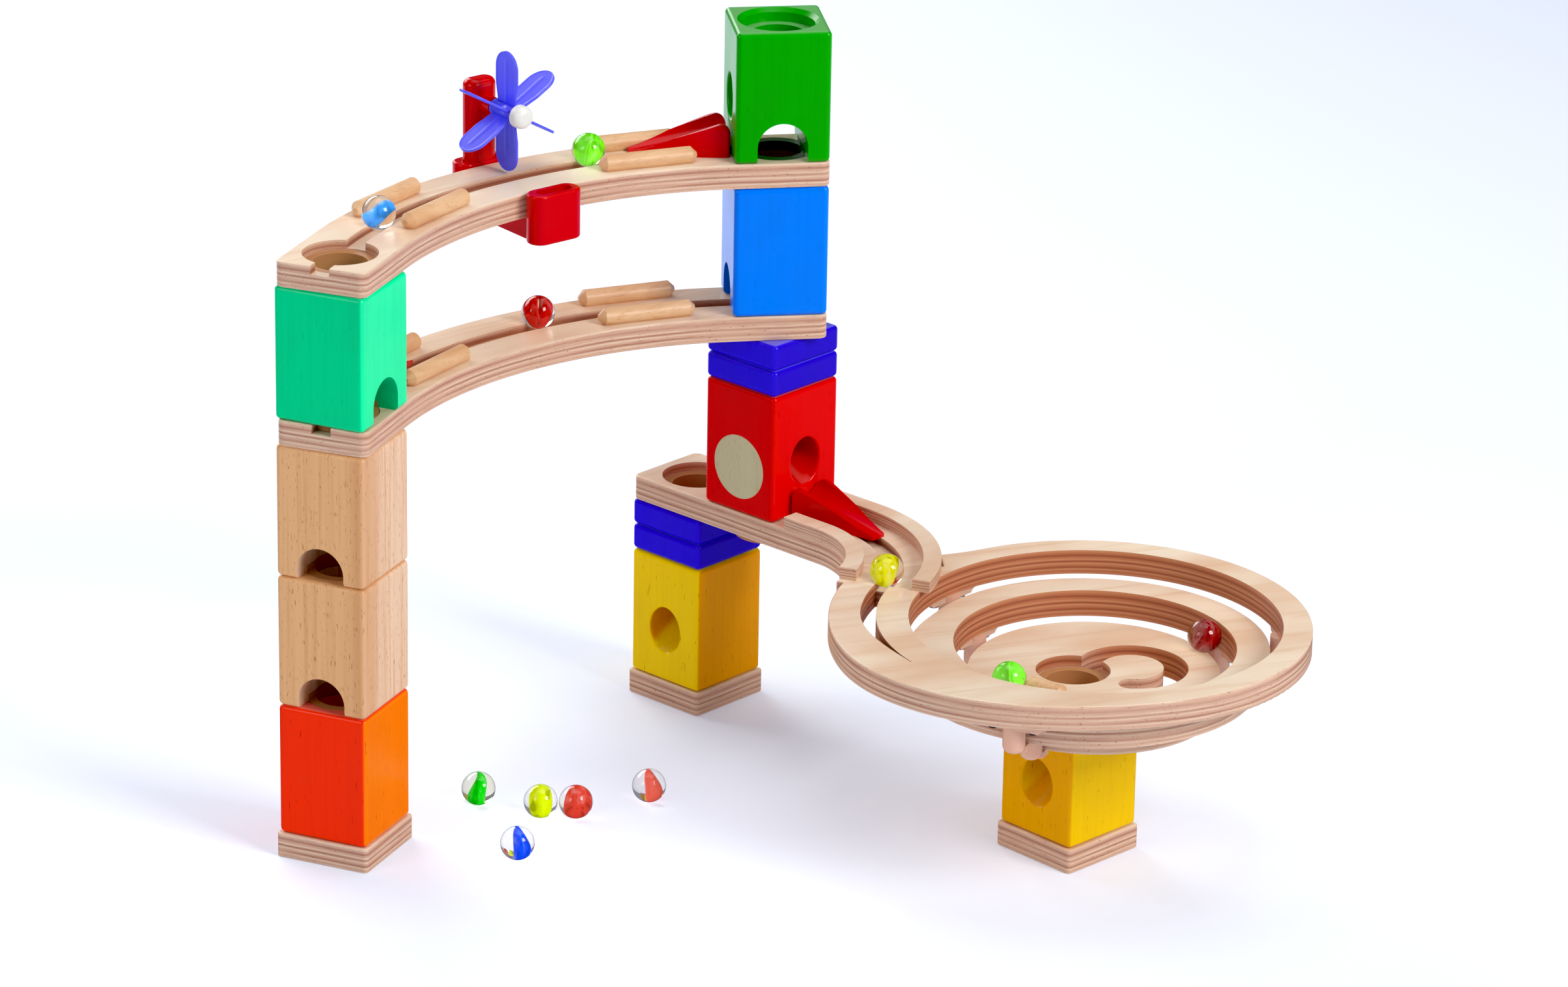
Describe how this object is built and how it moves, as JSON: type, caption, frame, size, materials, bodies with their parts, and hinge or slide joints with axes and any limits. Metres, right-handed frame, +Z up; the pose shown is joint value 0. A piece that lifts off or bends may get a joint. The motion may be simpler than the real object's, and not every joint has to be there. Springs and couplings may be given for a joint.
{
  "type": "marble run",
  "caption": "Wooden marble run: towers of drilled blocks, two grooved curved rails, a paddle windmill, a launch rail and a stepped spiral, with glass marbles.",
  "frame": {"origin": "centre of the bounding box's bottom face, on the floor that the base plates stand on", "axes": "+Z up; -Y is the front, the side that the picture shows; +X to the right, from the left tower to the spiral"},
  "size_m": [0.4764, 0.3134, 0.356],
  "materials": {
    "plywood": "sanded birch plywood, clear satin lacquer",
    "dowel_wood": "sanded beech dowel",
    "natural_wood": "rubberwood, clear satin lacquer",
    "plug_wood": "pale painted wood, satin",
    "stain_orange": "saturated orange stain, semi-gloss",
    "stain_teal": "saturated turquoise green stain, semi-gloss",
    "stain_green": "saturated green stain, semi-gloss",
    "stain_blue": "saturated blue stain, semi-gloss",
    "stain_red": "saturated red stain, semi-gloss",
    "stain_yellow": "yellow stain, semi-gloss, wood pores showing",
    "stain_purple": "saturated violet blue stain, semi-gloss",
    "red_plastic": "moulded, satin gloss",
    "ring_beige": "moulded, matt",
    "ring_green": "moulded, matt, dark green",
    "bracket_plastic": "moulded, slightly translucent, satin",
    "steel": "bright steel",
    "rotor_plastic": "moulded, gloss",
    "cap_white": "moulded, gloss",
    "glass_green": "clear glass with coloured vanes",
    "glass_blue": "clear glass with coloured vanes",
    "glass_red": "clear glass with coloured vanes",
    "glass_yellow": "clear glass with coloured vanes",
    "glass_orange": "clear glass with coloured vanes"
  },
  "bodies": {
    "track": {"base_plate_left": "plywood", "base_plate_middle": "plywood", "base_plate_right": "plywood", "block_orange": "stain_orange", "block_natural_lower": "natural_wood", "block_natural_upper": "natural_wood", "block_teal": "stain_teal", "block_yellow_middle": "stain_yellow", "block_yellow_right": "stain_yellow", "block_blue": "stain_blue", "block_red": "stain_red", "block_red_side_plug": "plug_wood", "spacer_middle_lower": "stain_purple", "spacer_middle_upper": "stain_purple", "spacer_back_lower": "stain_purple", "spacer_back_upper": "stain_purple", "rail_upper": "plywood", "rail_lower": "plywood", "guard_pegs_upper": "dowel_wood", "guard_pegs_lower": "dowel_wood", "launch_board": "plywood", "guard_wall_near": "plywood", "guard_wall_far": "plywood", "ramp_green_block": "red_plastic", "ramp_teal_block": "red_plastic", "ramp_red_block": "red_plastic", "rings_left_tower": "ring_beige", "rings_middle_tower": "ring_beige", "rings_back_tower": "ring_beige", "rings_right_tower": "ring_beige", "spiral_level_top": "plywood", "spiral_level_middle": "plywood", "spiral_level_bottom": "plywood", "spiral_brackets_upper": "bracket_plastic", "spiral_brackets_lower": "bracket_plastic", "spiral_screws": "steel", "spiral_guard_peg": "dowel_wood", "windmill_clip": "red_plastic"},
    "start_block": {"block_green": "stain_green", "ring_green_block": "ring_green"},
    "windmill_mast": {"windmill_post": "red_plastic", "windmill_axle": "steel", "windmill_cap": "cap_white"},
    "rotor": {"windmill_rotor": "rotor_plastic"},
    "marble_light_green_ball": {"marble_light_green": "glass_green"},
    "marble_blue_ball": {"marble_blue": "glass_blue"},
    "marble_red_ball": {"marble_red": "glass_red"},
    "marble_yellow_green_ball": {"marble_yellow_green": "glass_yellow"},
    "marble_dark_red_ball": {"marble_dark_red": "glass_red"},
    "marble_green_ball": {"marble_green": "glass_green"},
    "marble_floor_green_ball": {"marble_floor_green": "glass_green"},
    "marble_floor_yellow_ball": {"marble_floor_yellow": "glass_yellow"},
    "marble_floor_red_ball": {"marble_floor_red": "glass_red"},
    "marble_floor_orange_ball": {"marble_floor_orange": "glass_orange"},
    "marble_floor_blue_ball": {"marble_floor_blue": "glass_blue"}
  },
  "joints": [
    {"name": "start_block_lift", "type": "slide", "parent": "track", "child": "start_block", "axis": [0, 0, 1], "range_m": [0, 0.06]},
    {"name": "windmill_lift", "type": "slide", "parent": "track", "child": "windmill_mast", "axis": [0, 0, 1], "range_m": [0, 0.03]},
    {"name": "rotor_spin", "type": "hinge", "parent": "windmill_mast", "child": "rotor", "pos_m": [-0.13771, 0.04981, 0.322], "axis": [0.6225, -0.7826, 0], "continuous": true},
    {"name": "light_green_roll", "type": "hinge", "parent": "track", "child": "marble_light_green_ball", "pos_m": [-0.0008, -0.12231, 0.3], "axis": [0, 0, 1], "range_deg": [-3, 3]},
    {"name": "blue_roll", "type": "hinge", "parent": "track", "child": "marble_blue_ball", "pos_m": [-0.0008, -0.12231, 0.3], "axis": [0, 0, 1], "range_deg": [-15, 3]},
    {"name": "red_roll", "type": "hinge", "parent": "track", "child": "marble_red_ball", "pos_m": [-0.0008, -0.12231, 0.224], "axis": [0, 0, 1], "range_deg": [-20, 8]},
    {"name": "yellow_green_roll", "type": "hinge", "parent": "track", "child": "marble_yellow_green_ball", "pos_m": [-0.02013, 0.00868, 0.122], "axis": [0, 0, 1], "range_deg": [0, 25]},
    {"name": "dark_red_roll", "type": "hinge", "parent": "track", "child": "marble_dark_red_ball", "pos_m": [0.13822, -0.0534, 0.097], "axis": [0, 0, 1], "range_deg": [-60, 60]},
    {"name": "green_roll", "type": "hinge", "parent": "track", "child": "marble_green_ball", "pos_m": [0.13822, -0.0534, 0.097], "axis": [0, 0, 1], "range_deg": [-25, 2]},
    {"name": "floor_green_roll", "type": "slide", "parent": "track", "child": "marble_floor_green_ball", "axis": [0, 1, 0], "range_m": [-0.015, 0.06]},
    {"name": "floor_yellow_roll", "type": "slide", "parent": "track", "child": "marble_floor_yellow_ball", "axis": [0, 1, 0], "range_m": [-0.015, 0.06]},
    {"name": "floor_red_roll", "type": "slide", "parent": "track", "child": "marble_floor_red_ball", "axis": [0, 1, 0], "range_m": [-0.015, 0.06]},
    {"name": "floor_orange_roll", "type": "slide", "parent": "track", "child": "marble_floor_orange_ball", "axis": [0, 1, 0], "range_m": [-0.015, 0.06]},
    {"name": "floor_blue_roll", "type": "slide", "parent": "track", "child": "marble_floor_blue_ball", "axis": [0, 1, 0], "range_m": [-0.015, 0.03]}
  ]
}
